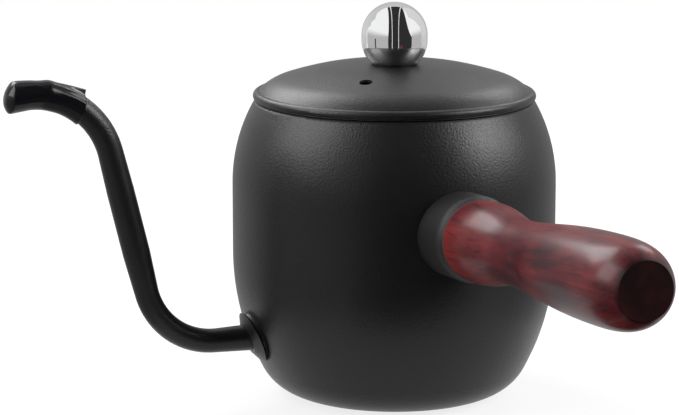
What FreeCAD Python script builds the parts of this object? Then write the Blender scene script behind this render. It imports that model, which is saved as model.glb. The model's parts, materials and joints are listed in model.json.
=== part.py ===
"""Gooseneck kettle with a side handle, a lift-off lid and a soft cap on the tip of its spout.

Millimetres. The base stands on z = 0 with the body's axis on Z. The spout points along -X and the handle
along -Y.
"""
import FreeCAD, Part
import math
import os
import re

import Sketcher

Vector = FreeCAD.Vector
Placement = FreeCAD.Placement
Rotation = FreeCAD.Rotation

UP = Vector(0, 0, 1)
FULL_TURN = 360
HEX_SIDES = 6

# Driving dimensions, in millimetres and degrees
DIMENSIONS = {
    "body_radius": 53.7,
    "body_wall": 0.8,
    "base_flat_radius": 29.5,
    "corner_arc": 16.5,
    "side_arc": 83.0,
    "shoulder_height": 70.6,
    "shoulder_arc": 54.8,
    "mouth_height": 98.4,
    "lip_round": 2.0,
    "lip_land": 2.37,
    "foot_width": 5.5,
    "recess_depth": 2.0,
    "disc_gap": 0.2,
    "disc_chamfer": 0.4,
    "spout_height": 22.0,
    "spout_corner_reach": 82.2,
    "spout_lean": 13.7,
    "spout_crown_height": 106.65,
    "spout_droop": 5.0,
    "spout_inlet_depth": 2.5,
    "low_bend_arc": 24.0,
    "high_bend_arc": 26.5,
    "root_tube_radius": 4.3,
    "low_tube_radius": 3.95,
    "rise_tube_radius": 4.45,
    "tip_tube_radius": 4.15,
    "tube_wall": 0.6,
    "rise_taper": 13.0,
    "hole_gap": 0.1,
    "flange_tilt": 21.5,
    "flange_radius": 9.0,
    "flange_rim": 0.7,
    "flange_foot_radius": 8.3,
    "flange_height": 2.6,
    "flange_crown": 0.6,
    "sleeve_wrap": 36.0,
    "sleeve_gap": 0.15,
    "sleeve_wall": 0.35,
    "sleeve_nose": 6.5,
    "sleeve_flare": 0.45,
    "sleeve_dome": 3.0,
    "handle_height": 59.4,
    "handle_tilt": 3.7,
    "socket_radius": 13.8,
    "socket_reach": 15.3,
    "socket_round": 3.0,
    "socket_round_arc": 4.81,
    "socket_lip": 1.05,
    "socket_wall": 1.2,
    "socket_plate": 2.0,
    "seal_thickness": 0.5,
    "grip_length": 109.1,
    "grip_bulge": 0.25,
    "grip_bulge_at": 5.5,
    "grip_bulge_ease": 9.8,
    "grip_waist_radius": 10.3,
    "grip_waist_at": 30.0,
    "grip_waist_ease": 17.0,
    "grip_belly_radius": 13.4,
    "grip_belly_at": 87.6,
    "grip_belly_ease": 30.3,
    "grip_end_radius": 8.6,
    "grip_end_ease": 13.6,
    "grip_end_flare": 3.8,
    "grip_end_lead": 4.4,
    "bolt_radius": 3.0,
    "bolt_flats": 10.0,
    "bolt_head": 4.0,
    "bolt_reach": 12.0,
    "bolt_washer_radius": 6.0,
    "bolt_washer": 1.2,
    "bolt_spring_radius": 5.6,
    "bolt_spring": 1.6,
    "bolt_nut": 5.0,
    "thread_gap": 0.05,
    "pocket_gap": 0.7,
    "insert_radius": 5.0,
    "insert_spare": 6.0,
    "insert_collar_radius": 6.0,
    "insert_collar": 1.0,
    "drill_point": 3.0,
    "lid_sheet": 0.8,
    "dome_rise": 5.99,
    "dome_edge_width": 7.0,
    "dome_edge_drop": 4.28,
    "bead_radius": 1.6,
    "bead_outset": 0.2,
    "bead_flat": 0.2,
    "crease_angle": 105.0,
    "crown_drop": 1.56,
    "crown_round": 60.0,
    "vent_reach": 29.3,
    "vent_bearing": 49.0,
    "vent_radius": 2.15,
    "skirt_gap": 0.5,
    "skirt_wall": 0.8,
    "skirt_depth": 10.0,
    "skirt_flange": 4.0,
    "weld_gap": 0.05,
    "knob_radius": 10.9,
    "knob_foot_radius": 7.73,
    "knob_belt": 1.6,
    "thread_end_gap": 2.0,
    "knob_washer": 0.3,
    "knob_washer_inset": 0.5,
    "screw_radius": 2.5,
    "screw_hole_gap": 0.25,
    "screw_reach": 8.0,
    "screw_head_radius": 4.4,
    "screw_head": 3.0,
    "screw_head_round": 1.2,
    "screw_spring_radius": 4.2,
    "screw_spring": 1.3,
    "screw_washer_radius": 5.0,
    "screw_washer": 1.0,
}

document = FreeCAD.newDocument("gooseneck_kettle")
sheet = document.addObject("Spreadsheet::Sheet", "sizes")
for row, (alias, value) in enumerate(DIMENSIONS.items(), start=1):
    sheet.set(f"A{row}", alias)
    sheet.set(f"B{row}", str(value))
    sheet.setAlias(f"B{row}", alias)
document.recompute()

# Lower wall: a corner arc runs into a flatter side arc, which stands upright where the straight side starts
SIDE_SHIFT = "(base_flat_radius - body_radius + side_arc)"
SIDE_LESS_CORNER = "(side_arc - corner_arc)"
SIDE_FOOT = f"(corner_arc + sqrt({SIDE_LESS_CORNER} ^ 2 - {SIDE_SHIFT} ^ 2))"
JOIN_ACROSS = f"({SIDE_SHIFT} / {SIDE_LESS_CORNER})"
JOIN_DOWN = f"(({SIDE_FOOT} - corner_arc) / {SIDE_LESS_CORNER})"
RECESS_RADIUS = "(base_flat_radius - foot_width)"

# Shoulder: its arc turns in to the lip's small round, whose top is the mouth
LIP_SINE = "((mouth_height - shoulder_height - lip_round) / (shoulder_arc - lip_round))"
LIP_COSINE = f"sqrt(1 - {LIP_SINE} ^ 2)"
LIP_CENTRE_RADIUS = f"(body_radius - shoulder_arc + (shoulder_arc - lip_round) * {LIP_COSINE})"
MOUTH_RADIUS = f"({LIP_CENTRE_RADIUS} - lip_land)"

# Outer wall where the spout goes through it
SPOUT_WALL_SINE = f"(({SIDE_FOOT} - spout_height) / side_arc)"
SPOUT_WALL_RADIUS = f"(body_radius - side_arc + side_arc * sqrt(1 - {SPOUT_WALL_SINE} ^ 2))"

# Lid: the dome, a round from its edge to the crease beside the rolled bead, and a flat crown for the knob
BEAD_CENTRE = f"({LIP_CENTRE_RADIUS} + bead_outset)"
BEAD_HEIGHT = "(mouth_height + bead_radius - bead_flat)"
BEAD_FLAT_HALF = "sqrt(bead_radius ^ 2 - (bead_radius - bead_flat) ^ 2)"
CREASE_RADIUS = f"({BEAD_CENTRE} + bead_radius * cos(crease_angle))"
CREASE_HEIGHT = f"({BEAD_HEIGHT} + bead_radius * sin(crease_angle))"
DOME_EDGE = f"({CREASE_RADIUS} - dome_edge_width)"
DOME_RADIUS = f"(({DOME_EDGE} ^ 2 + dome_rise ^ 2) / (2 * dome_rise))"
DOME_SINE = f"({DOME_EDGE} / {DOME_RADIUS})"
DOME_COSINE = f"(1 - dome_rise / {DOME_RADIUS})"
EDGE_TURN = f"(dome_edge_drop * {DOME_COSINE} - dome_edge_width * {DOME_SINE})"
EDGE_ROUND = f"((dome_edge_drop ^ 2 + dome_edge_width ^ 2) / (2 * {EDGE_TURN}))"
LID_CROWN = f"({CREASE_HEIGHT} + dome_edge_drop + dome_rise)"
DOME_CENTRE = f"({LID_CROWN} - {DOME_RADIUS})"
DOME_INSIDE = f"({DOME_RADIUS} - lid_sheet)"
EDGE_AXIS = f"(({DOME_RADIUS} - {EDGE_ROUND}) * {DOME_SINE})"
EDGE_CENTRE = f"({DOME_CENTRE} + ({DOME_RADIUS} - {EDGE_ROUND}) * {DOME_COSINE})"
EDGE_INSIDE = f"({EDGE_ROUND} - lid_sheet)"
CROWN_FLAT = f"sqrt(crown_drop * (2 * {DOME_RADIUS} - 2 * crown_round - crown_drop))"
CROWN_SINE = f"({CROWN_FLAT} / ({DOME_RADIUS} - crown_round))"
KNOB_SEAT = f"({LID_CROWN} - crown_drop)"
LID_UNDERSIDE = f"({KNOB_SEAT} - lid_sheet)"
KNOB_FOOT = f"({KNOB_SEAT} + knob_washer)"

# Handle, along its own axis from the kettle's axis
SOCKET_START = "(body_radius / 2)"
SOCKET_FACE = "(body_radius + socket_reach)"
PLATE_INSIDE = f"({SOCKET_FACE} - socket_plate)"
BOLT_HEAD_FACE = f"({PLATE_INSIDE} - bolt_washer)"
NUT_SEAT = f"({SOCKET_FACE} + bolt_spring)"
GRIP_START = f"({SOCKET_FACE} + seal_thickness)"
GRIP_ROOT = "(socket_radius - socket_lip)"
POCKET_FLOOR = f"({NUT_SEAT} + bolt_nut + pocket_gap)"
POCKET_RADIUS = "(bolt_flats / sqrt(3) + pocket_gap)"
INSERT_END = f"({POCKET_FLOOR} + bolt_reach + insert_spare)"


def linked(expression):
    """The expression with each driving dimension read from the sheet."""
    return re.sub(r"[a-z]\w*_\w+", lambda name: f"sizes.{name.group()}", expression)


def size(expression):
    """The expression's present value, as a number."""
    value = sheet.evalExpression(linked(expression))
    return float(getattr(value, "Value", value))


def bind(item, **properties):
    """Tie properties of an object to the sheet."""
    for name, expression in properties.items():
        item.setExpression(name, linked(expression))
    return item


def origin_plane(body, role):
    """One of the body's own origin planes."""
    return next(plane for plane in body.Origin.OriginFeatures if plane.Role == role)


def arc_between(start, end, radius):
    """The shorter arc from start to end, turning left for a positive radius and right for a negative one."""
    chord = end - start
    left = Vector(-chord.y, chord.x, 0).normalize()
    rise = math.sqrt(max(radius ** 2 - (chord.Length / 2) ** 2, 0))
    centre = (start + end) / 2 + left * math.copysign(rise, radius)
    first, last = (start, end) if radius > 0 else (end, start)
    angles = [math.atan2(point.y - centre.y, point.x - centre.x) for point in (first, last)]
    return Part.ArcOfCircle(Part.Circle(centre, UP, abs(radius)), *angles)


def pin_point(sketch, edge, point, across, up):
    """Hold one end of an edge at a place given by two expressions."""
    for kind, axis, expression in (("DistanceX", -2, across), ("DistanceY", -1, up)):
        if expression == "0":
            sketch.addConstraint(Sketcher.Constraint("PointOnObject", edge, point, axis))
            continue
        held = sketch.addConstraint(Sketcher.Constraint(kind, -1, 1, edge, point, size(expression)))
        bind(sketch, **{f"Constraints[{held}]": expression})


def draw_outline(sketch, stops):
    """Closed outline through stops: (across, up) ends a straight stretch and (across, up, radius) an arc."""
    places = [Vector(size(stop[0]), size(stop[1]), 0) for stop in stops]
    ends = []
    for number, stop in enumerate(stops):
        start, end = places[number - 1], places[number]
        if len(stop) == 2:
            edge = sketch.addGeometry(Part.LineSegment(start, end))
            ends.append((edge, 1, 2))
            continue
        turn = -1 if stop[2].startswith("-") else 1
        edge = sketch.addGeometry(arc_between(start, end, size(stop[2])))
        ends.append((edge, 1, 2) if turn > 0 else (edge, 2, 1))
        held = sketch.addConstraint(Sketcher.Constraint("Radius", edge, abs(size(stop[2]))))
        bind(sketch, **{f"Constraints[{held}]": stop[2].lstrip("-")})
    for number, stop in enumerate(stops):
        edge, _, last = ends[number]
        next_edge, first, _ = ends[(number + 1) % len(ends)]
        sketch.addConstraint(Sketcher.Constraint("Coincident", edge, last, next_edge, first))
        pin_point(sketch, edge, last, *stop[:2])


def turned(label, stops):
    """A lathe-turned body: the outline is (radius, height), spun about the height axis."""
    body = document.addObject("PartDesign::Body", label)
    sketch = body.newObject("Sketcher::SketchObject", f"{label}_outline")
    sketch.AttachmentSupport = [(origin_plane(body, "XZ_Plane"), "")]
    sketch.MapMode = "FlatFace"
    draw_outline(sketch, stops)
    spin = body.newObject("PartDesign::Revolution", f"{label}_spin")
    spin.Profile = sketch
    spin.ReferenceAxis = (sketch, ["V_Axis"])
    spin.Angle = FULL_TURN
    document.recompute()
    return body


def ring_outline(inner, outer, bottom, top):
    """Square-edged ring or, with an inner radius of 0, disc."""
    return [(inner, bottom), (outer, bottom), (outer, top), (inner, top)]


def primitive(kind, label, place=None, **properties):
    """A simple solid or outline with its sizes tied to the sheet."""
    item = bind(document.addObject(f"Part::{kind}", label), **properties)
    item.Placement = place or Placement()
    return item


def cut(label, base, *tools):
    """The base with each tool taken away from it in turn."""
    for number, tool in enumerate(tools, start=1):
        name = label if number == len(tools) else f"{label}_step_{number}"
        base, previous = document.addObject("Part::Cut", name), base
        base.Base = previous
        base.Tool = tool
    document.recompute()
    return base


def joined(label, pieces):
    """Pieces of one solid, fused."""
    whole = document.addObject("Part::MultiFuse", label)
    whole.Shapes = pieces
    document.recompute()
    return whole


def facing(direction):
    """The turn that points Z along a direction."""
    return Rotation(UP, direction)


def on_handle(item):
    """Stand a piece on the handle's axis."""
    item.Placement = Placement(Vector(), Rotation(Vector(1, 0, 0), 90))
    item.setExpression("Placement.Base.z", linked("handle_height"))
    item.setExpression("Placement.Rotation.Angle", linked("90 - handle_tilt"))
    return item


def on_spout(item):
    """Turn a piece drawn along +X round to the spout's side."""
    item.Placement = Placement(Vector(), Rotation(UP, 180))
    return item


# Body

# Stops of the wall's outline, from the base up
FLAT_EDGE, CORNER_END, SIDE_END, SHOULDER_FOOT, SHOULDER_END, LIP_TOP = range(6)


def wall_outline(inset):
    """The wall from the base's flat up to the mouth, inset from the outer face."""
    corner = f"(corner_arc - {inset})"
    straight = f"body_radius - {inset}"
    shoulder = f"(shoulder_arc - {inset})"
    return [
        ("base_flat_radius", inset),
        (f"base_flat_radius + {corner} * {JOIN_ACROSS}", f"corner_arc - {corner} * {JOIN_DOWN}", corner),
        (straight, SIDE_FOOT, f"side_arc - {inset}"),
        (straight, "shoulder_height"),
        (f"body_radius - shoulder_arc + {shoulder} * {LIP_COSINE}",
         f"shoulder_height + {shoulder} * {LIP_SINE}", shoulder),
        (LIP_CENTRE_RADIUS, f"mouth_height - {inset}", f"lip_round - {inset}"),
    ]


def reversed_outline(stops):
    """The same stops walked the other way, with each arc turning the other way."""
    backwards = []
    for number in range(len(stops) - 1, -1, -1):
        arrives_by = stops[number + 1][2:] if number + 1 < len(stops) else ()
        backwards.append(stops[number][:2] + tuple(f"-{radius}" for radius in arrives_by))
    return backwards


def make_body_form():
    """The body's outer form as a full solid, which trims what is welded to it."""
    stops = [("0", "0")] + wall_outline("0") + [("0", "mouth_height")]
    return turned("body_form", stops)


def wall_stretch(first, last):
    """The outer face from one stop of the wall up to another, and the inner face back down."""
    faces = []
    for inset in ("0", "body_wall"):
        stops = wall_outline(inset)[first:last + 1]
        faces.append([stops[0][:2]] + stops[1:])
    outer, inner = faces
    return outer, reversed_outline(inner)


def make_body_pan():
    """The bottom: a foot ring round a raised panel, and the corner up to the wall."""
    outer, inner = wall_stretch(FLAT_EDGE, CORNER_END)
    step_radius = f"{RECESS_RADIUS} + body_wall"
    panel = "recess_depth + body_wall"
    stops = [("0", "recess_depth"), (RECESS_RADIUS, "recess_depth"), (RECESS_RADIUS, "0")] + outer + inner
    stops += [(step_radius, "body_wall"), (step_radius, panel), ("0", panel)]
    return turned("body_pan", stops)


def make_body_side():
    """The side, with the hole for the spout."""
    outer, inner = wall_stretch(CORNER_END, SHOULDER_FOOT)
    blank = turned("side_blank", outer + inner)
    drill_place = Placement(Vector(0, 0, size("spout_height")), facing(Vector(-1, 0, 0)))
    drill = primitive("Cylinder", "spout_hole_drill", drill_place, Radius="root_tube_radius + hole_gap",
                      Height="body_radius")
    bind(drill, **{"Placement.Base.z": "spout_height"})
    return cut("body_side", blank, drill)


def make_body_shoulder():
    """The shoulder, turned in at its top to the mouth's flat lip."""
    outer, inner = wall_stretch(SHOULDER_FOOT, LIP_TOP)
    lip = [(MOUTH_RADIUS, "mouth_height"), (MOUTH_RADIUS, "mouth_height - body_wall")]
    return turned("body_shoulder", outer + lip + inner)


def make_base_disc():
    rim = f"{RECESS_RADIUS} - disc_gap"
    return turned("base_disc", [
        ("0", "0"),
        (f"{rim} - disc_chamfer", "0"),
        (rim, "disc_chamfer"),
        (rim, "recess_depth"),
        ("0", "recess_depth"),
    ])


# Spout, drawn along +X in the XZ plane

def spout_points():
    """The tube's centre line: where its straight runs and its two bends meet, with the rise's direction."""
    lean = math.radians(size("spout_lean"))
    rise = Vector(math.sin(lean), 0, math.cos(lean))
    half_turn = (math.pi / 2 - lean) / 2
    low_corner = Vector(size("spout_corner_reach"), 0, size("spout_height"))
    climb = size("spout_crown_height - spout_height")
    high_corner = low_corner + rise * (climb / rise.z)
    low_tangent = size("low_bend_arc") * math.tan(half_turn)
    high_tangent = size("high_bend_arc") * math.tan(half_turn)
    out = Vector(1, 0, 0)
    return {
        "rise": rise,
        "inlet": Vector(size(f"{SPOUT_WALL_RADIUS} - spout_inlet_depth"), 0, low_corner.z),
        "low_bend": low_corner - out * low_tangent,
        "low_bend_end": low_corner + rise * low_tangent,
        "high_bend": high_corner - rise * high_tangent,
        "high_bend_centre": high_corner + out * high_tangent - UP * size("high_bend_arc"),
    }


def bend(label, centre, start, heading, sweep, arc, tube):
    """Part of a ring of tube about a centre, from a start point along a heading."""
    spoke = (start - centre).normalize()
    place = Placement(centre, Rotation(spoke, heading, spoke.cross(heading), "XYZ"))
    return primitive("Torus", label, place, Radius1=arc, Radius2=tube, Angle3=sweep)


def tube_solid(label, points, inset, overrun):
    """The spout's tube as one solid, its radii less an inset and its ends longer by an overrun."""
    out, rise = Vector(1, 0, 0), points["rise"]
    low, middle, tip = (f"{name}_tube_radius - {inset}" for name in ("low", "rise", "tip"))
    root = f"root_tube_radius - {inset}"
    collar = Vector(size(f"{SPOUT_WALL_RADIUS} + flange_height"), 0, size("spout_height"))
    taper_end = points["low_bend_end"] + rise * size("rise_taper")
    taper_start = points["high_bend"] - rise * size("rise_taper")
    along, up = facing(out), facing(rise)
    inlet = Placement(points["inlet"] - out * size(overrun), along)
    root_cone = primitive("Cone", f"{label}_root", Placement(collar, along), Radius1=root, Radius2=low)
    root_cone.Height = (points["low_bend"] - collar).Length
    straight = primitive("Cylinder", f"{label}_rise", Placement(taper_end, up), Radius=middle)
    straight.Height = (taper_start - taper_end).Length
    return joined(label, [
        primitive("Cylinder", f"{label}_inlet", inlet, Radius=root,
                  Height=f"spout_inlet_depth + flange_height + {overrun}"),
        root_cone,
        bend(f"{label}_low_bend", points["low_bend"] + UP * size("low_bend_arc"), points["low_bend"], out,
             "90 - spout_lean", "low_bend_arc", low),
        primitive("Cone", f"{label}_swell", Placement(points["low_bend_end"], up),
                  Radius1=low, Radius2=middle, Height="rise_taper"),
        straight,
        primitive("Cone", f"{label}_taper", Placement(taper_start, up),
                  Radius1=middle, Radius2=tip, Height="rise_taper"),
        bend(f"{label}_high_bend", points["high_bend_centre"], points["high_bend"], rise,
             f"90 - spout_lean + spout_droop + {overrun} / high_bend_arc * 180 / pi", "high_bend_arc", tip),
    ])


def make_spout_tube(points):
    outside = tube_solid("tube_outside", points, "0", "0")
    bore = tube_solid("tube_bore", points, "tube_wall", "tube_wall")
    return on_spout(cut("spout_tube", outside, bore))


def make_spout_flange(points, body_form):
    """A shallow cone on the wall with an undercut rim, which the tube passes through level."""
    tilt = math.radians(size("flange_tilt"))
    normal = Vector(math.cos(tilt), 0, -math.sin(tilt))
    seat = Vector(size(SPOUT_WALL_RADIUS), 0, size("spout_height"))
    sunk = "flange_height"
    cone = turned("flange_cone", [
        ("0", "0"),
        ("flange_foot_radius", "0"),
        ("flange_foot_radius", sunk),
        ("flange_radius", f"{sunk} + flange_rim"),
        ("root_tube_radius + flange_crown", f"{sunk} + flange_height"),
        ("0", f"{sunk} + flange_height"),
    ])
    cone.Placement = Placement(seat - normal * size(sunk), facing(normal))
    drill = primitive("Cylinder", "flange_drill", Placement(points["inlet"], facing(Vector(1, 0, 0))),
                      Radius="root_tube_radius + hole_gap", Height="body_radius")
    return on_spout(cut("spout_flange", cone, body_form, drill))


def make_tip_sleeve(points):
    """A soft closed cap over the tip, which follows the last bend."""
    centre, arc = points["high_bend_centre"], size("high_bend_arc")
    wrap, droop = (math.radians(size(name)) for name in ("sleeve_wrap", "spout_droop"))
    back = Vector(-math.sin(wrap), 0, math.cos(wrap))
    front = Vector(math.sin(droop), 0, math.cos(droop))
    back_heading = Vector(math.cos(wrap), 0, math.sin(wrap))
    front_heading = Vector(math.cos(droop), 0, -math.sin(droop))
    bore = "tip_tube_radius + sleeve_gap"
    sweep = "sleeve_wrap + spout_droop"
    cover = bend("sleeve_cover", centre, centre + back * arc, back_heading, sweep, "high_bend_arc",
                 f"{bore} + sleeve_wall")
    nose_radius = f"({bore} + sleeve_wall + sleeve_flare)"
    nose = turned("sleeve_nose_form", [
        ("0", "0"),
        (f"{bore} + sleeve_wall", "0"),
        (nose_radius, "sleeve_nose - sleeve_dome"),
        ("0", "sleeve_nose", f"({nose_radius} ^ 2 + sleeve_dome ^ 2) / (2 * sleeve_dome)"),
    ])
    tip = Placement(centre + front * arc, facing(front_heading))
    nose.Placement = tip
    whole = joined("sleeve_outside", [cover, nose])
    hollow = bend("sleeve_hollow", centre, centre + back * arc, back_heading, sweep, "high_bend_arc", bore)
    end_room = primitive("Cylinder", "sleeve_end_room", tip, Radius=bore, Height="sleeve_nose - sleeve_dome")
    return on_spout(cut("spout_tip_sleeve", whole, joined("sleeve_bore", [hollow, end_room])))


# Handle

def make_handle_socket(body_form):
    """A drawn cup, welded to the body by its open rim."""
    inside = "socket_radius - socket_wall"
    hole = "bolt_radius + thread_gap"
    shoulder = f"{SOCKET_FACE} - socket_round"
    cup = turned("socket_cup", [
        (inside, SOCKET_START),
        ("socket_radius", SOCKET_START),
        ("socket_radius", shoulder),
        (GRIP_ROOT, SOCKET_FACE, "socket_round_arc"),
        (hole, SOCKET_FACE),
        (hole, PLATE_INSIDE),
        (inside, PLATE_INSIDE),
    ])
    return cut("handle_socket", on_handle(cup), body_form)


def make_handle_bolt():
    head = primitive("Prism", "bolt_head", Circumradius="bolt_flats / sqrt(3)", Height="bolt_head")
    head.Polygon = HEX_SIDES
    bind(head, **{"Placement.Base.z": f"{BOLT_HEAD_FACE} - bolt_head"})
    shank = primitive("Cylinder", "bolt_shank", Radius="bolt_radius",
                      Height=f"{POCKET_FLOOR} + bolt_reach - {BOLT_HEAD_FACE}")
    bind(shank, **{"Placement.Base.z": BOLT_HEAD_FACE})
    return on_handle(joined("handle_bolt", [head, shank]))


def make_handle_nut():
    blank = primitive("Prism", "nut_blank", Circumradius="bolt_flats / sqrt(3)", Height="bolt_nut")
    blank.Polygon = HEX_SIDES
    bind(blank, **{"Placement.Base.z": NUT_SEAT})
    thread = primitive("Cylinder", "nut_thread", Radius="bolt_radius + thread_gap", Height="bolt_nut")
    bind(thread, **{"Placement.Base.z": NUT_SEAT})
    return on_handle(cut("handle_nut", blank, thread))


def make_handle_ring(label, inner, outer, bottom, thickness):
    return on_handle(turned(label, ring_outline(inner, outer, bottom, f"{bottom} + {thickness}")))


def make_grip_insert():
    bore = "bolt_radius + thread_gap"
    floor = POCKET_FLOOR
    return on_handle(turned("grip_insert", [
        (bore, floor),
        ("insert_collar_radius", floor),
        ("insert_collar_radius", f"{floor} + insert_collar"),
        ("insert_radius", f"{floor} + insert_collar"),
        ("insert_radius", INSERT_END),
        (bore, INSERT_END),
    ]))


def smooth(*poles):
    """A smooth edge that starts towards its second pole and arrives from its last but one."""
    curve = Part.BezierCurve()
    curve.setPoles(list(poles))
    return curve.toShape()


def make_handle_grip():
    """Turned wood: a bulge at the socket, a waist, a full belly and a rounded end with a flat face."""
    begin = size(GRIP_START)

    def crest(radius, along):
        return Vector(size(radius), 0, begin + size(along))

    root = crest(GRIP_ROOT, "0")
    bulge = crest(f"{GRIP_ROOT} + grip_bulge", "grip_bulge_at")
    waist = crest("grip_waist_radius", "grip_waist_at")
    belly = crest("grip_belly_radius", "grip_belly_at")
    end = crest("grip_end_radius", "grip_length")
    bulge_ease, waist_ease, belly_ease, end_ease = (
        UP * size(f"grip_{name}_ease") for name in ("bulge", "waist", "belly", "end"))
    end_pole = end + Vector(size("grip_end_flare"), 0, -size("grip_end_lead"))
    curves = [
        smooth(root, Vector(bulge.x, 0, (root.z + bulge.z) / 2), bulge),
        smooth(bulge, bulge + bulge_ease, waist - bulge_ease, waist),
        smooth(waist, waist + waist_ease, belly - belly_ease, belly),
        smooth(belly, belly + end_ease, end_pole, end),
    ]

    pocket = size(POCKET_FLOOR)
    collar_floor = pocket + size("insert_collar")
    insert_end = size(INSERT_END)
    drilled = insert_end + size("drill_point")
    steps = [
        (0, end.z),
        (0, drilled),
        (size("bolt_radius"), insert_end),
        (size("insert_radius"), insert_end),
        (size("insert_radius"), collar_floor),
        (size("insert_collar_radius"), collar_floor),
        (size("insert_collar_radius"), pocket),
        (size(POCKET_RADIUS), pocket),
        (size(POCKET_RADIUS), begin),
    ]
    corners = [end] + [Vector(radius, 0, along) for radius, along in steps] + [root]
    lines = [Part.LineSegment(first, second).toShape() for first, second in zip(corners, corners[1:])]
    section = Part.Face(Part.Wire(curves + lines))
    grip = document.addObject("Part::Feature", "handle_grip")
    grip.Shape = section.revolve(Vector(), UP, FULL_TURN)
    return on_handle(grip)


# Lid

def on_dome(radius, sphere):
    """The place at a radius on the dome or on a sphere inside it."""
    return (radius, f"{DOME_CENTRE} + sqrt(({sphere}) ^ 2 - ({radius}) ^ 2)")


def on_edge(radius, arc):
    """The place at a radius on an arc inside the round at the dome's edge."""
    return (radius, f"{EDGE_CENTRE} + sqrt(({arc}) ^ 2 - ({radius} - {EDGE_AXIS}) ^ 2)")


def make_lid_shell():
    hole = "screw_radius + screw_hole_gap"
    flat_outer = f"{BEAD_CENTRE} + {BEAD_FLAT_HALF}"
    flat_inner = f"{BEAD_CENTRE} - {BEAD_FLAT_HALF}"
    blank = turned("lid_blank", [
        (hole, LID_UNDERSIDE),
        (CROWN_FLAT, LID_UNDERSIDE),
        (*on_dome(f"{DOME_INSIDE} * {CROWN_SINE}", DOME_INSIDE), "-(crown_round - lid_sheet)"),
        (*on_dome(f"{DOME_INSIDE} * {DOME_SINE}", DOME_INSIDE), f"-{DOME_INSIDE}"),
        (*on_edge(MOUTH_RADIUS, EDGE_INSIDE), f"-{EDGE_INSIDE}"),
        (flat_inner, "mouth_height"),
        (flat_outer, "mouth_height"),
        (f"{BEAD_CENTRE} + bead_radius", BEAD_HEIGHT, "bead_radius"),
        (CREASE_RADIUS, CREASE_HEIGHT, "bead_radius"),
        (*on_dome(DOME_EDGE, DOME_RADIUS), EDGE_ROUND),
        (*on_dome(f"{DOME_RADIUS} * {CROWN_SINE}", DOME_RADIUS), DOME_RADIUS),
        (CROWN_FLAT, KNOB_SEAT, "crown_round"),
        (hole, KNOB_SEAT),
    ])
    vent = primitive("Cylinder", "vent_drill", Radius="vent_radius", Height=LID_CROWN)
    bind(vent, **{
        "Placement.Base.x": "-vent_reach * cos(vent_bearing)",
        "Placement.Base.y": "-vent_reach * sin(vent_bearing)",
    })
    return cut("lid_shell", blank, vent)


def make_lid_skirt():
    """A ring that locates the lid in the mouth, with a flange under the dome for its spot welds."""
    outer = f"{MOUTH_RADIUS} - skirt_gap"
    inner = f"{outer} - skirt_wall"
    edge = f"{outer} - skirt_flange"
    top = f"({EDGE_INSIDE} - weld_gap)"
    under = f"({top} - skirt_wall)"
    return turned("lid_skirt", [
        (outer, "mouth_height - skirt_depth"),
        on_edge(outer, top),
        (*on_edge(edge, top), top),
        on_edge(edge, under),
        (*on_edge(inner, under), f"-{under}"),
        (inner, "mouth_height - skirt_depth"),
    ])


def make_lid_knob():
    """A ball with a short straight belt, cut flat at its foot, with a blind threaded hole."""
    thread = "screw_radius + thread_gap"
    belt_foot = f"{KNOB_FOOT} + sqrt(knob_radius ^ 2 - knob_foot_radius ^ 2)"
    belt_top = f"{belt_foot} + knob_belt"
    thread_end = f"{KNOB_FOOT} + screw_reach + thread_end_gap"
    return turned("lid_knob", [
        (thread, KNOB_FOOT),
        ("knob_foot_radius", KNOB_FOOT),
        ("knob_radius", belt_foot, "knob_radius"),
        ("knob_radius", belt_top),
        ("0", f"{belt_top} + knob_radius", "knob_radius"),
        ("0", thread_end),
        (thread, thread_end),
    ])


def make_knob_screw():
    seat = f"({LID_UNDERSIDE} - screw_washer - screw_spring)"
    crown = f"{seat} - screw_head"
    return turned("knob_screw", [
        ("0", crown),
        ("screw_head_radius - screw_head_round", crown),
        ("screw_head_radius", f"{crown} + screw_head_round", "screw_head_round"),
        ("screw_head_radius", seat),
        ("screw_radius", seat),
        ("screw_radius", f"{KNOB_FOOT} + screw_reach"),
        ("0", f"{KNOB_FOOT} + screw_reach"),
    ])


def make_knob_ring(label, outer, bottom, top):
    return turned(label, ring_outline("screw_radius + screw_hole_gap", outer, bottom, top))


def make_all():
    """Every sub-part of the kettle."""
    body_form = make_body_form()
    points = spout_points()
    bolt_hole = "bolt_radius + thread_gap"
    washer_foot = f"{LID_UNDERSIDE} - screw_washer"
    spring_foot = f"{washer_foot} - screw_spring"
    return [
        make_body_pan(),
        make_body_side(),
        make_body_shoulder(),
        make_base_disc(),
        make_spout_flange(points, body_form),
        make_spout_tube(points),
        make_tip_sleeve(points),
        make_handle_socket(body_form),
        make_handle_bolt(),
        make_handle_ring("handle_bolt_washer", bolt_hole, "bolt_washer_radius", BOLT_HEAD_FACE,
                         "bolt_washer"),
        make_handle_ring("handle_spring_washer", bolt_hole, "bolt_spring_radius", SOCKET_FACE, "bolt_spring"),
        make_handle_nut(),
        make_handle_ring("handle_seal", POCKET_RADIUS, GRIP_ROOT, SOCKET_FACE, "seal_thickness"),
        make_grip_insert(),
        make_handle_grip(),
        make_lid_shell(),
        make_lid_skirt(),
        make_knob_ring("knob_seat_washer", "knob_foot_radius - knob_washer_inset", KNOB_SEAT, KNOB_FOOT),
        make_lid_knob(),
        make_knob_screw(),
        make_knob_ring("knob_flat_washer", "screw_washer_radius", washer_foot, LID_UNDERSIDE),
        make_knob_ring("knob_spring_washer", "screw_spring_radius", spring_foot, washer_foot),
    ]


def check(parts):
    """Stop if any object failed, or any sub-part is not one sound solid."""
    document.recompute()
    for item in document.Objects:
        if {"Invalid", "Error"} & set(item.State):
            raise RuntimeError(f"{item.Label} failed: {item.State}")
    for part in parts:
        if part.Shape.isNull() or not part.Shape.isValid() or len(part.Shape.Solids) != 1:
            raise RuntimeError(f"{part.Label} is not one sound solid")


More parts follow.
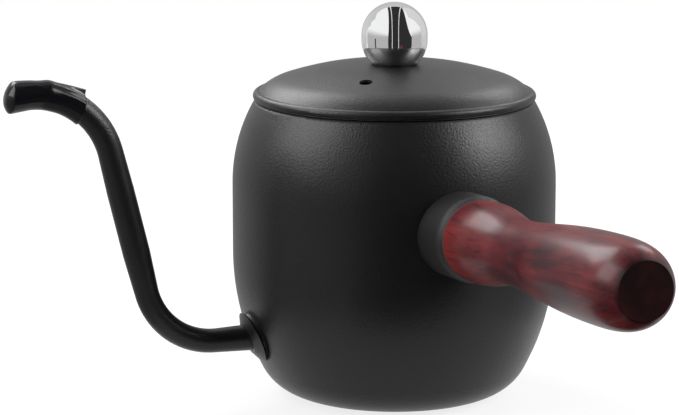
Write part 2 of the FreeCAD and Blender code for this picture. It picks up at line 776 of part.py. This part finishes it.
parts = make_all()
check(parts)
os.makedirs("parts", exist_ok=True)
for part in parts:
    part.Shape.exportStep(os.path.join("parts", f"{part.Label}.step"))
    box = part.Shape.BoundBox
    print(f"{part.Label}: {part.Shape.Volume:.1f} mm3, x {box.XMin:.1f} to {box.XMax:.1f}, "
          f"y {box.YMin:.1f} to {box.YMax:.1f}, z {box.ZMin:.1f} to {box.ZMax:.1f}")
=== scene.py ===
"""Looks of the gooseneck kettle: its finishes, the soft cap on its spout and a small studio."""

import json
import math

import bmesh
import bpy
from mathutils import Matrix, Vector


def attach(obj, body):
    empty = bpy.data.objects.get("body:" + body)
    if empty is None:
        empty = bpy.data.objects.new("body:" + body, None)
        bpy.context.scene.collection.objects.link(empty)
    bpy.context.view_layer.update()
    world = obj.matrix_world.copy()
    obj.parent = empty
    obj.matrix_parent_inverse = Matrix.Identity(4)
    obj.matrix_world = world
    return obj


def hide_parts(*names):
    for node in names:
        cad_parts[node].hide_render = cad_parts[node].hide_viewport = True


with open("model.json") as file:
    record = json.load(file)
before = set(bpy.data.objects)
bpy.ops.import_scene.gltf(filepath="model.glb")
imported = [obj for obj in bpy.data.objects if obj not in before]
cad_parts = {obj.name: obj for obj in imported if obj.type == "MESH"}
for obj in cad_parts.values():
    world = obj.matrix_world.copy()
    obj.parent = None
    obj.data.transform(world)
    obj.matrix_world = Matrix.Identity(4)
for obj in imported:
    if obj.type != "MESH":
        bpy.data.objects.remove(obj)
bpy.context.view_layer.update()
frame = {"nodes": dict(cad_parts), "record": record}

NODES = frame["nodes"]
MM = 0.001


# Node trees

# Sockets of a colour Mix node, by number because several of them share a name
MIX_SHARE, MIX_LOW, MIX_HIGH, MIX_RESULT = 0, 6, 7, 2
FACING_STEP = 0.5 * MM


class Value:
    """An output in a node tree. Arithmetic on it adds Math nodes."""

    def __init__(self, tree, socket):
        self.tree = tree
        self.socket = socket

    def math(self, operation, first, second):
        return self.tree.add("ShaderNodeMath", {"operation": operation}, {0: first, 1: second})

    def __add__(self, other):
        return self.math("ADD", self, other)

    def __sub__(self, other):
        return self.math("SUBTRACT", self, other)

    def __rsub__(self, other):
        return self.math("SUBTRACT", other, self)

    def __mul__(self, other):
        return self.math("MULTIPLY", self, other)

    __radd__ = __add__
    __rmul__ = __mul__

    def larger(self, other):
        """The larger of two values."""
        return self.math("MAXIMUM", self, other)

    def step(self, low, high):
        """A smooth step from 0 at low to 1 at high, which may be the smaller of the two."""
        settings = {"interpolation_type": "SMOOTHSTEP"}
        sockets = {"Value": self, "From Min": low, "From Max": high}
        return self.tree.add("ShaderNodeMapRange", settings, sockets)


class Tree:
    """The node tree of a material or of the world."""

    def __init__(self, owner):
        owner.use_nodes = True
        self.nodes = owner.node_tree.nodes
        self.links = owner.node_tree.links
        self.nodes.clear()

    def add(self, kind, settings, sockets, output=0):
        """Adds a node with its settings, then its sockets' values or links, and gives an output."""
        node = self.nodes.new(kind)
        for name, value in settings.items():
            if name == "stops":
                set_stops(node.color_ramp.elements, value)
            else:
                setattr(node, name, value)
        for name, value in sockets.items():
            if isinstance(value, Value):
                self.links.new(value.socket, node.inputs[name])
            else:
                node.inputs[name].default_value = value
        return Value(self, node.outputs[output])

    def end(self, kind, shader):
        """Links a shader to a new output node."""
        self.links.new(shader.socket, self.nodes.new(kind).inputs["Surface"])


class Finish(Tree):
    """A material on Object coordinates."""

    def __init__(self, name):
        self.material = bpy.data.materials.new(name)
        super().__init__(self.material)
        self.place = self.add("ShaderNodeTexCoord", {}, {}, "Object")

    def stretched(self, centre, turn, scale):
        """Object coordinates about a centre, turned and scaled."""
        settings = {"vector_type": "TEXTURE"}
        sockets = {"Vector": self.place, "Location": centre, "Rotation": turn, "Scale": scale}
        return self.add("ShaderNodeMapping", settings, sockets)

    def noise(self, scale, detail, place=None, distortion=0):
        sockets = {
            "Vector": place or self.place,
            "Scale": scale,
            "Detail": detail,
            "Distortion": distortion,
        }
        return self.add("ShaderNodeTexNoise", {}, sockets)

    def axis(self, place, name):
        """One coordinate of a place."""
        return self.add("ShaderNodeSeparateXYZ", {}, {"Vector": place}, name)

    def outside(self, centre):
        """1 on surfaces that face away from a centre and 0 on those that face it."""
        away = self.vector("SUBTRACT", self.place, centre)
        normal = self.add("ShaderNodeTexCoord", {}, {}, "Normal")
        return self.vector("DOT_PRODUCT", away, normal, "Value").step(-FACING_STEP, FACING_STEP)

    def vector(self, operation, first, second, output=0):
        settings = {"operation": operation}
        return self.add("ShaderNodeVectorMath", settings, {0: first, 1: second}, output)

    def mix(self, share, low, high):
        """A colour between two, each plain or from a node."""
        sockets = {MIX_SHARE: share, MIX_LOW: opaque(low), MIX_HIGH: opaque(high)}
        return self.add("ShaderNodeMix", {"data_type": "RGBA"}, sockets, MIX_RESULT)

    def ramp(self, share, stops):
        return self.add("ShaderNodeValToRGB", {"stops": stops}, {0: share})

    def bump(self, height, strength, distance):
        sockets = {"Height": height, "Strength": strength, "Distance": distance}
        return self.add("ShaderNodeBump", {}, sockets)

    def glow(self, colour):
        """Light of a colour at full strength."""
        return self.add("ShaderNodeEmission", {}, {"Color": opaque(colour), "Strength": 1})

    def principled(self, sockets):
        """Ends the material in a Principled shader."""
        return self.shaded(self.add("ShaderNodeBsdfPrincipled", {}, sockets))

    def shaded(self, shader):
        """Ends the material in a shader."""
        self.end("ShaderNodeOutputMaterial", shader)
        return self.material


def set_stops(ramp, stops):
    while len(ramp) < len(stops):
        ramp.new(1)
    for stop, (position, colour) in zip(ramp, stops):
        stop.position = position
        stop.color = opaque(colour)


def opaque(colour):
    return colour if isinstance(colour, Value) else (*colour, 1)


def grey(level):
    return level, level, level


# Finishes

COAT_BLACKS = (0.0035, 0.0035, 0.0036), (0.008, 0.008, 0.0078)
COAT_GRAIN_SCALE = 1500
COAT_CLOUD_SCALE = 60
COAT_ROUGHNESS = 0.29
DULL_ROUGHNESS = 0.46
COAT_GLOSS = 0.3
COAT_GRAIN_HEIGHT = 0.13 * MM
BARE_STEELS = grey(0.42), (0.52, 0.52, 0.53)
HOLLOW_CENTRE = (0, 0, 50 * MM)

POLISHED_STEELS = (0.84, 0.845, 0.855), (0.88, 0.88, 0.885)
BALL_CENTRE = (0, 0, 120 * MM)
WIPE_TURN = (0.5, 0.2, 0)
WIPE_STRETCH = (1, 1, 0.2)
WIPE_SCALE = 160

TURNED_STEELS = grey(0.46), (0.6, 0.6, 0.61)
STEEL_LINE_STRETCH = (8, 8, 1)
STEEL_LINE_SCALE = 2200
STEEL_LINE_HEIGHT = 0.02 * MM
STEEL_CLOUD_SCALE = 90

BRASSES = (0.6, 0.42, 0.16), (0.75, 0.58, 0.27)
BRASS_LINE_STRETCH = (6, 1, 6)
BRASS_LINE_SCALE = 1800

RUBBERS = grey(0.01), grey(0.022)
RUBBER_DUST_SCALE = 700
RUBBER_DUST_HEIGHT = 0.05 * MM

VINYLS = (0.0035, 0.0035, 0.0045), (0.006, 0.006, 0.0075)
VINYL_GLOSS = 0.22
VINYL_DENT_SCALE = 190
VINYL_DENT_HEIGHT = 0.4 * MM
VINYL_DUST_SCALE = 1500

HANDLE_FOOT = (0, 0, 59.4 * MM)
HANDLE_TURN = (math.radians(86.3), 0, 0)
HANDLE_END = 177.7 * MM
WOOD_TONES = (
    (0.3, (0.012, 0.0028, 0.0045)),
    (0.44, (0.042, 0.006, 0.0088)),
    (0.55, (0.09, 0.0105, 0.0135)),
    (0.7, (0.165, 0.02, 0.0185)),
)
END_GRAIN = (0.006, 0.002, 0.002)
# Scale, detail, stretch along the handle and distortion of the wood's figure
STREAKS = (110, 3, 5, 1.5)
BLOTCHES = (40, 2, 1.5, 0.8)
PORES = (1300, 2, 22, 0)
# Distances along the handle between which the wood grows paler towards the socket
PALE_FROM = 125 * MM
PALE_TO = 65 * MM
# Distances along the handle between which the wood turns to end grain
END_GRAIN_FROM = HANDLE_END - 0.4 * MM
END_GRAIN_TO = HANDLE_END + 0.8 * MM
WOOD_GLOSS = 0.05
PORE_HEIGHT = 0.05 * MM
LACQUER = 0.38
LACQUER_ROUGHNESS = 0.25


def black_powder_coat(name, bare_inside, roughness=COAT_ROUGHNESS):
    """Matte black coat with a fine orange-peel grain that sparkles where light grazes it. Sheet
    that is bare inside shows its steel there."""
    finish = Finish(name)
    grain = finish.noise(COAT_GRAIN_SCALE, 3)
    clouds = finish.noise(COAT_CLOUD_SCALE, 3)
    colour = finish.mix(clouds * 0.6 + grain * 0.4, *COAT_BLACKS)
    sockets = {
        "Base Color": colour,
        "Roughness": clouds * 0.06 + grain * 0.1 + roughness,
        "Specular IOR Level": COAT_GLOSS,
        "Normal": finish.bump(grain, 0.8, COAT_GRAIN_HEIGHT),
    }
    if bare_inside:
        coated = finish.outside(HOLLOW_CENTRE)
        steel = finish.mix(clouds, *BARE_STEELS)
        sockets["Base Color"] = finish.mix(coated, steel, colour)
        sockets["Metallic"] = 1 - coated
    return finish.principled(sockets)


def polished_steel():
    """Mirror polish with a faint haze of wiping marks."""
    finish = Finish("polished_steel")
    place = finish.stretched(BALL_CENTRE, WIPE_TURN, WIPE_STRETCH)
    haze = finish.noise(WIPE_SCALE, 4, place)
    sockets = {
        "Base Color": finish.mix(haze, *POLISHED_STEELS),
        "Metallic": 1,
        "Roughness": haze.step(0.35, 0.8) * 0.05 + 0.02,
    }
    return finish.principled(sockets)


def brushed_steel():
    """Plain steel with fine turning lines."""
    finish = Finish("brushed_steel")
    place = finish.stretched((0, 0, 0), (0, 0, 0), STEEL_LINE_STRETCH)
    lines = finish.noise(STEEL_LINE_SCALE, 2, place)
    clouds = finish.noise(STEEL_CLOUD_SCALE, 3)
    sockets = {
        "Base Color": finish.mix(clouds, *TURNED_STEELS),
        "Metallic": 1,
        "Roughness": lines * 0.12 + 0.26,
        "Normal": finish.bump(lines, 0.12, STEEL_LINE_HEIGHT),
    }
    return finish.principled(sockets)


def turned_brass():
    """Brass with turning lines across the handle."""
    finish = Finish("turned_brass")
    place = finish.stretched((0, 0, 0), (0, 0, 0), BRASS_LINE_STRETCH)
    lines = finish.noise(BRASS_LINE_SCALE, 2, place)
    sockets = {
        "Base Color": finish.mix(lines, *BRASSES),
        "Metallic": 1,
        "Roughness": lines * 0.15 + 0.25,
    }
    return finish.principled(sockets)


def matte_rubber():
    """Dull black rubber with a dusty surface."""
    finish = Finish("matte_rubber")
    dust = finish.noise(RUBBER_DUST_SCALE, 4)
    sockets = {
        "Base Color": finish.mix(dust, *RUBBERS),
        "Roughness": dust * 0.15 + 0.6,
        "Normal": finish.bump(dust, 0.2, RUBBER_DUST_HEIGHT),
    }
    return finish.principled(sockets)


def glossy_vinyl():
    """Soft black vinyl, glossy, with the slow dents of a dipped skin."""
    finish = Finish("glossy_vinyl")
    dents = finish.noise(VINYL_DENT_SCALE, 2)
    dust = finish.noise(VINYL_DUST_SCALE, 3)
    sockets = {
        "Base Color": finish.mix(dust, *VINYLS),
        "Roughness": dust * 0.05 + 0.12,
        "Specular IOR Level": VINYL_GLOSS,
        "Normal": finish.bump(dents, 0.25, VINYL_DENT_HEIGHT),
    }
    return finish.principled(sockets)


def lacquered_rosewood():
    """Dark red wood: wide streaks along the handle, blotches, fine pores and dark end grain."""
    finish = Finish("lacquered_rosewood")

    def on_handle(stretch):
        return finish.stretched(HANDLE_FOOT, HANDLE_TURN, (1, 1, stretch))

    def figure(scale, detail, stretch, distortion):
        return finish.noise(scale, detail, on_handle(stretch), distortion)

    streaks, blotches, pores = (figure(*form) for form in (STREAKS, BLOTCHES, PORES))
    along = finish.axis(on_handle(1), "Z")
    pale = along.step(PALE_FROM, PALE_TO)
    wood = finish.ramp(streaks * 0.5 + blotches * 0.45 + 0.03 + pale * 0.1, WOOD_TONES)
    dark = pores.step(0.52, 0.68) * 0.4
    end_grain = along.step(END_GRAIN_FROM, END_GRAIN_TO) * 0.85
    sockets = {
        "Base Color": finish.mix(dark.larger(end_grain), wood, END_GRAIN),
        "Roughness": streaks * 0.12 + 0.38,
        "Specular IOR Level": WOOD_GLOSS,
        "Coat Weight": LACQUER,
        "Coat Roughness": LACQUER_ROUGHNESS,
        "Normal": finish.bump(pores, 0.05, PORE_HEIGHT),
    }
    return finish.principled(sockets)


def dress(finish, thing):
    slots = thing.data.materials
    slots.clear()
    slots.append(finish)


# The soft cap on the spout's tip, in millimetres and degrees

BEND_CENTRE = Vector((-123.6515, 0, 80.15))
BEND_ARC = 26.5
# Turns about the bend's centre from its top, back to the open end and on to the end of the bend
CAP_WRAP = 37.3
CAP_DROOP = 5
CAP_SIDES = 96
CAP_RING = 0.45
CAP_WALL = 0.35
# Distance from the open end and radius
CAP_STATIONS = (
    (0, 4.78),
    (6.6, 4.7),
    (10.1, 4.74),
    (13.6, 4.66),
    (18.1, 4.72),
    (22.2, 5.0),
    (23.6, 5.02),
    (24.1, 4.8),
    (24.85, 3.85),
    (25.45, 2.75),
    (25.8, 1.7),
    (25.9, 0.6),
)
LOOSE_LENGTH = 10
FIN_HEIGHT = 1.4
FIN_FADE = 1.3
FIN_TURN = -2
FIN_SPREAD = 14
PLEAT_HEIGHT = 0.3
# Turn and spread of each pleat beside the fin
PLEATS = ((40, 8), (64, 7))
# Distance from the open end and height of the swell and the dent on the upper side
DENTS = ((12.3, 0.34), (15.6, -0.12))
DENT_SPREAD = 1.6
DENT_TURN = 10
MOUTH_TILT = 0.38
MOUTH_LENGTH = 8
NOSE_TILT = -0.25
NOSE_START = 15.6
NOSE_LENGTH = 6


def soft_cap():
    """A dipped vinyl cap: it follows the tube, loose at its open end, and closes over the tip."""
    shape = bmesh.new()
    bmesh.ops.create_circle(shape, segments=CAP_SIDES, radius=CAP_STATIONS[0][1])
    upright = Matrix.Rotation(math.pi / 2, 3, "Y")
    bmesh.ops.rotate(shape, verts=shape.verts, cent=(0, 0, 0), matrix=upright)
    ring = shape.edges[:]
    for (start, radius), (end, next_radius) in zip(CAP_STATIONS, CAP_STATIONS[1:]):
        steps = max(1, round((end - start) / CAP_RING))
        for step in range(steps):
            last, new = (radius + (next_radius - radius) * (step + more) / steps for more in (0, 1))
            ring = grown(shape, ring, (end - start) / steps, new / last)
    bmesh.ops.edgeloop_fill(shape, edges=ring)
    for vert in shape.verts:
        vert.co = on_spout(slack(vert.co)) * MM
    bmesh.ops.recalc_face_normals(shape, faces=shape.faces)
    cap = piece("tip_cap", shape, "tip_sleeve", "sleeve_plastic", "spout_tip_sleeve")
    wall = cap.modifiers.new("wall", "SOLIDIFY")
    wall.thickness = CAP_WALL * MM
    wall.offset = -1
    return cap


def grown(shape, ring, step, share):
    """The next ring of a straight tube along X: the last one pushed on by a step and scaled."""
    made = bmesh.ops.extrude_edge_only(shape, edges=ring)["geom"]
    verts = [item for item in made if isinstance(item, bmesh.types.BMVert)]
    bmesh.ops.scale(shape, verts=verts, vec=(1, share, share))
    bmesh.ops.translate(shape, verts=verts, vec=(step, 0, 0))
    new = set(verts)
    edges = [item for item in made if isinstance(item, bmesh.types.BMEdge)]
    return [edge for edge in edges if set(edge.verts) <= new]


def hump(offset, spread):
    """1 at no offset, falling smoothly to 0 on both sides."""
    return math.exp(-((offset / spread) ** 2))


def slack(place):
    """A place on the straight cap moved by its loose fit: a pinched fin and two pleats at the open
    end, a swell and a dent above, and a tilted mouth and nose."""
    along, side, top = place
    loose = max(0, 1 - along / LOOSE_LENGTH)
    turn = math.degrees(math.atan2(-side, top))
    fin = FIN_HEIGHT * loose**FIN_FADE * hump(turn - FIN_TURN, FIN_SPREAD)
    pleat = PLEAT_HEIGHT * loose * sum(hump(turn - centre, spread) for centre, spread in PLEATS)
    dent = sum(height * hump(along - centre, DENT_SPREAD) for centre, height in DENTS)
    upper = max(0, math.cos(math.radians(turn - DENT_TURN)))
    grow = 1 + (fin + pleat + dent * upper) / math.hypot(side, top)
    mouth = MOUTH_TILT * max(0, 1 - along / MOUTH_LENGTH) ** 2
    nose = NOSE_TILT * min(1, max(0, (along - NOSE_START) / NOSE_LENGTH)) ** 2
    return Vector((along + (mouth + nose) * top, side * grow, top * grow))


def on_spout(place):
    """A place on the straight cap carried onto the spout's last bend and beyond its tip."""
    along, side, top = place
    arc = math.radians(CAP_WRAP + CAP_DROOP) * BEND_ARC
    angle = math.radians(CAP_WRAP) - min(along, arc) / BEND_ARC
    out = Vector((math.sin(angle), 0, math.cos(angle)))
    ahead = Vector((-math.cos(angle), 0, math.sin(angle)))
    past = max(0, along - arc)
    return BEND_CENTRE + out * (BEND_ARC + top) + ahead * past + Vector((0, side, 0))


def piece(name, shape, body, slot, *nodes):
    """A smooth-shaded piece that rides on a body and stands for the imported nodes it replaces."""
    for face in shape.faces:
        face.smooth = True
    made = placed(name, mesh_of(name, shape))
    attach(made, body)
    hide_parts(*nodes)
    return made


def mesh_of(name, shape):
    mesh = bpy.data.meshes.new(name)
    shape.to_mesh(mesh)
    shape.free()
    return mesh


def placed(name, data):
    """A new object in the scene."""
    made = bpy.data.objects.new(name, data)
    bpy.context.scene.collection.objects.link(made)
    return made


# Studio

CAMERA_PLACE = (-348.76 * MM, -829.68 * MM, 238.62 * MM)
CAMERA_DOWN = math.radians(11.12)
CAMERA_BEARING = math.radians(21.646)
CAMERA_LENS = 145.93
CAMERA_SENSOR = 36
VIEW_BEARING = math.radians(22.8)
LAMP_AIM = Vector((0, 0, 60 * MM))
WHITE = grey(1)
AMBIENT = 0.2
FLOOR_HALF = 8
FLOOR_DROP = 0.1 * MM
# Grey of the paper for light that falls on it and for the camera and mirrors
PAPER_LIT = grey(0.35)
PAPER_SEEN = grey(0.9)
PAPER_GLOW = 0.8
# Squares of the distances between which the floor fades to plain white
FADE_FROM = 0.1
FADE_TO = 0.7
CARD_STEPS = 40
# Share of a card that lies on the floor, and the distances of its near end and of its arch
CARD_FLOOR = 0.1
CARD_NEAR = 0.1
CARD_FAR = 1.5
CARD_RISE = 1 * MM
# Bearing and elevation in degrees, distance and side in metres, power in watts
SOFTBOXES = {
    "left_panel": (-75, 36, 1.2, 0.9, 14),
    "right_panel": (82, 32, 1.2, 0.8, 13),
    "right_lamp": (72, 28, 1.18, 0.25, 3),
    "left_back": (-137, 43, 1.2, 0.7, 11),
    "top_panel": (180, 78, 1.2, 0.5, 0.7),
    "middle_back": (180, 48, 1.2, 0.7, 0.8),
    "right_back": (148, 39, 1.2, 0.38, 2.6),
}
# Grey at the floor and at the top, bearing, the two edges' slants, and top angle
CARDS = {
    "left_flag": ((0.03, 0.03), 0, ((-22, -12.5), (-8.6, -8.4)), 122),
    "middle_flag": ((0.03, 0.03), 0, ((-6.9, -6.9), (13.4, 9.6)), 122),
    "right_flag": ((0.03, 0.03), 0, ((15, 11.1), (62, 12.2)), 122),
    "left_floor": ((0.5, 1), -66, ((-44, -44), (44, 44)), 22),
    "right_floor": ((0.5, 1), 88, ((-26, -26), (26, 26)), 22),
    "grey_back": ((0.5, 0.62), 180, ((-65, -65), (65, 65)), 57),
    "left_wing": ((0.7, 0.62), -135, ((-22, -22), (22, 22)), 45),
    "right_wing": ((0.7, 0.75), 128, ((-22, -22), (20, 20)), 62),
}


def studio_camera():
    data = bpy.data.cameras.new("camera")
    data.lens = CAMERA_LENS
    data.sensor_width = CAMERA_SENSOR
    camera = placed("camera", data)
    camera.location = CAMERA_PLACE
    camera.rotation_euler = (math.pi / 2 - CAMERA_DOWN, 0, -CAMERA_BEARING)
    bpy.context.scene.camera = camera


def around(bearing, elevation, distance):
    """A step away from the kettle: bearing 0 is towards the camera, 90 to the camera's right."""
    turn = math.radians(bearing) - VIEW_BEARING
    rise = math.radians(elevation)
    flat = math.cos(rise) * distance
    return Vector((math.sin(turn) * flat, -math.cos(turn) * flat, math.sin(rise) * distance))


def unlit(*things):
    """A collection of things that the lamps pass by."""
    made = bpy.data.collections.new("unlit")
    for thing in things:
        made.objects.link(thing)
    for member in made.collection_objects:
        member.light_linking.link_state = "EXCLUDE"
    return made


def softbox(name, bearing, elevation, distance, side, power, passed_by):
    """A square lamp that faces the kettle and passes by the things in a collection."""
    data = bpy.data.lights.new(name, "AREA")
    data.shape = "SQUARE"
    data.size = side
    data.energy = power
    lamp = placed(name, data)
    away = around(bearing, elevation, distance)
    lamp.location = LAMP_AIM + away
    lamp.rotation_euler = away.to_track_quat("Z", "Y").to_euler()
    lamp.visible_camera = False
    lamp.light_linking.receiver_collection = passed_by


def seen_directly(tree):
    """1 for what the camera, a mirror or glass sees, and 0 for light on a matte surface."""
    kinds = ("Is Camera Ray", "Is Glossy Ray", "Is Transmission Ray")
    camera, glossy, transmission = (tree.add("ShaderNodeLightPath", {}, {}, kind) for kind in kinds)
    return camera.larger(glossy).larger(transmission)


def white_world():
    """A world that is white to the camera and to mirrors, and a dim light on matte surfaces."""
    world = bpy.data.worlds.new("white_world")
    bpy.context.scene.world = world
    tree = Tree(world)
    strength = seen_directly(tree) * (1 - AMBIENT) + AMBIENT
    sockets = {"Color": opaque(WHITE), "Strength": strength}
    tree.end("ShaderNodeOutputWorld", tree.add("ShaderNodeBackground", {}, sockets))


def white_floor():
    """White paper that keeps the kettle's shadow and fades to plain white further off."""
    shape = bmesh.new()
    bmesh.ops.create_grid(shape, x_segments=1, y_segments=1, size=FLOOR_HALF)
    bmesh.ops.translate(shape, verts=shape.verts, vec=(0, 0, -FLOOR_DROP))
    finish = Finish("white_paper")
    seen = seen_directly(finish)
    ahead, across = (finish.axis(finish.place, name) for name in "XY")
    far = (ahead * ahead + across * across).step(FADE_FROM, FADE_TO)
    colour = finish.mix(seen, PAPER_LIT, PAPER_SEEN)
    paper = finish.add("ShaderNodeBsdfDiffuse", {}, {"Color": colour})
    share = seen * (far * (1 - PAPER_GLOW) + PAPER_GLOW)
    sockets = {0: share, 1: paper, 2: finish.glow(WHITE)}
    staged("floor", shape, finish.shaded(finish.add("ShaderNodeMixShader", {}, sockets)))


def staged(name, shape, finish):
    """A finished thing that isn't part of the kettle."""
    made = placed(name, mesh_of(name, shape))
    made.data.materials.append(finish)
    return made


def card(name, levels, facing, edges, top):
    """A card that only reflections show. It lies on the floor beside the kettle at a bearing, then
    arches over it up to a top angle. Its two edges are slants from that bearing, each at the floor
    and at the top. Its grey runs from one level at the floor to another at its top."""
    ahead, across = around(facing, 0, 1), around(facing + 90, 0, 1)
    shape = bmesh.new()
    bmesh.ops.create_grid(shape, x_segments=1, y_segments=CARD_STEPS, size=0.5)
    for vert in shape.verts:
        share = vert.co.y + 0.5
        rise = max(0, share - CARD_FLOOR) / (1 - CARD_FLOOR)
        arch = math.radians(top) * rise
        distance = CARD_NEAR + (CARD_FAR - CARD_NEAR) * min(1, share / CARD_FLOOR)
        low, high = edges[0] if vert.co.x < 0 else edges[1]
        slant = math.tan(math.radians(low + (high - low) * rise))
        height = Vector((0, 0, math.sin(arch) * distance + CARD_RISE))
        vert.co = ahead * math.cos(arch) * distance + across * slant * distance + height
    finish = Finish(name)
    crest = CARD_FAR * math.sin(math.radians(min(top, 90)))
    share = finish.axis(finish.place, "Z").step(0, crest)
    light = finish.glow(finish.mix(share, *(grey(level) for level in levels)))
    made = staged(name, shape, finish.shaded(light))
    for rays in ("camera", "diffuse", "shadow", "volume_scatter"):
        setattr(made, f"visible_{rays}", False)


bpy.context.scene.view_settings.view_transform = "Standard"
studio_camera()
white_world()
white_floor()
unlit_ball = unlit(NODES["lid_knob"])
for name, lamp in SOFTBOXES.items():
    softbox(name, *lamp, unlit_ball)
for name, form in CARDS.items():
    card(name, *form)

FINISHES = {
    "black_coat": black_powder_coat("black_powder_coat", False),
    "plain_steel": brushed_steel(),
    "rubber": matte_rubber(),
    "brass": turned_brass(),
    "wood": lacquered_rosewood(),
    "polished_steel": polished_steel(),
    "sleeve_plastic": glossy_vinyl(),
}
BARE_INSIDE = ("body_pan", "body_side", "body_shoulder", "lid_shell", "lid_skirt")

for part in frame["record"]["subparts"]:
    dress(FINISHES[part["material_slot"]], NODES[part["node"]])
coated_sheet = black_powder_coat("coated_sheet", True)
for node in BARE_INSIDE:
    dress(coated_sheet, NODES[node])
dress(black_powder_coat("dull_coat", False, DULL_ROUGHNESS), NODES["handle_socket"])
dress(FINISHES["sleeve_plastic"], soft_cap())
